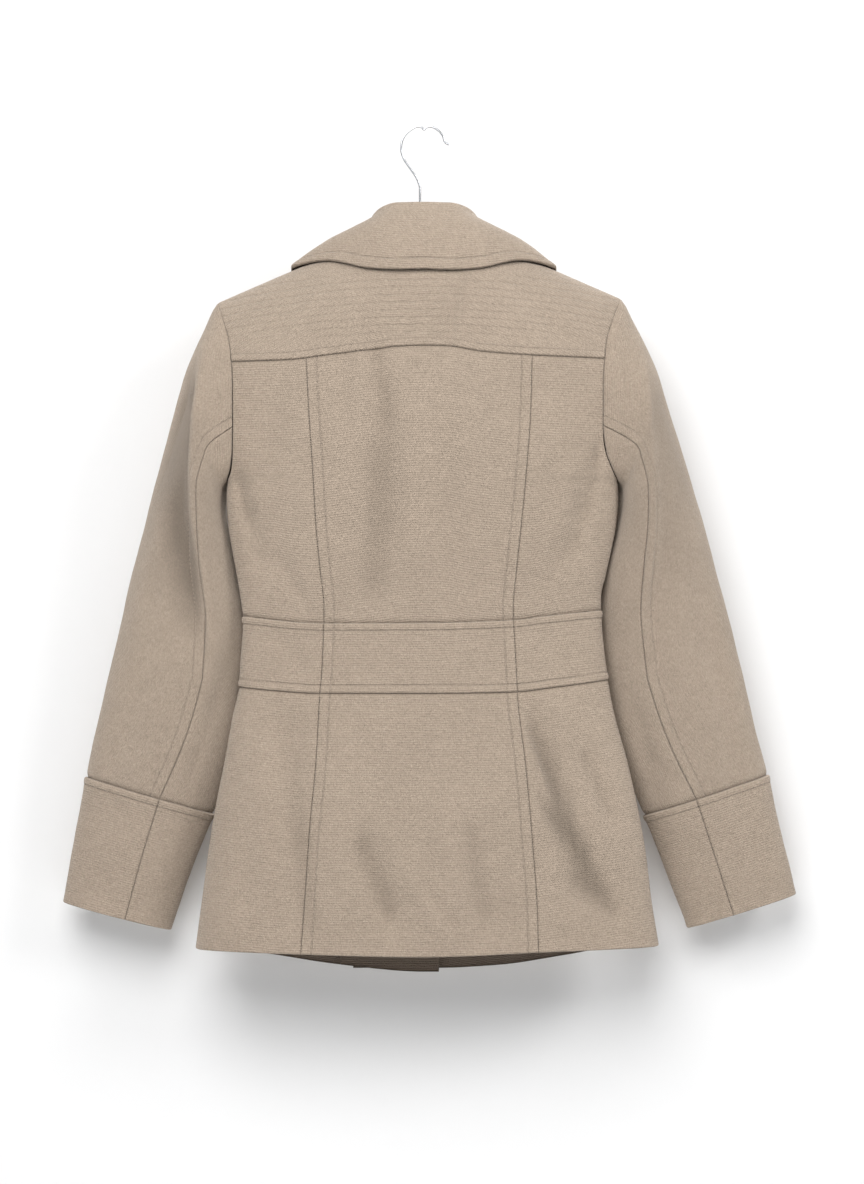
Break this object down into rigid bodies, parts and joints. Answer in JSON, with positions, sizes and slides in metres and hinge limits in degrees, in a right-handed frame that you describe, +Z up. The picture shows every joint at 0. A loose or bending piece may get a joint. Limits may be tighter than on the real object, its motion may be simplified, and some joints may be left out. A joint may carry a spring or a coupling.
{
  "type": "pea coat on a hanger",
  "caption": "Beige wool pea coat with a back yoke, waistband and princess seams, buttoned up and hanging on a hanger with a wire hook.",
  "frame": {"origin": "the inside of the hook's top, where it rests on a rail, midway across the wire", "axes": "+Z up; the coat's front faces -Y and its back +Y; +X is the wearer's left; metres"},
  "size_m": [0.739, 0.1367, 0.8519],
  "materials": {
    "wool": "matt melton wool with a short soft nap",
    "horn": "dark horn-like resin, softly polished",
    "hook_chrome": "bright drawn wire",
    "bar_wood": "clear satin varnish"
  },
  "bodies": {
    "root": {"back_centre_upper": "wool", "back_side_upper_left": "wool", "back_side_upper_right": "wool", "back_yoke": "wool", "band_centre": "wool", "band_side_left": "wool", "band_side_right": "wool", "button_edge_1": "horn", "button_edge_2": "horn", "button_edge_3": "horn", "button_inner_1": "horn", "button_inner_2": "horn", "button_inner_3": "horn", "collar": "wool", "cuff_under_left": "wool", "cuff_under_right": "wool", "cuff_upper_left": "wool", "cuff_upper_right": "wool", "facing_left": "wool", "front_left": "wool", "front_right": "wool", "hanger_bar": "bar_wood", "hanger_hook": "hook_chrome", "lapel_left": "wool", "lapel_right": "wool", "skirt_centre": "wool", "skirt_side_left": "wool", "skirt_side_right": "wool", "sleeve_under_left": "wool", "sleeve_under_right": "wool", "sleeve_upper_left": "wool", "sleeve_upper_right": "wool"}
  },
  "joints": []
}
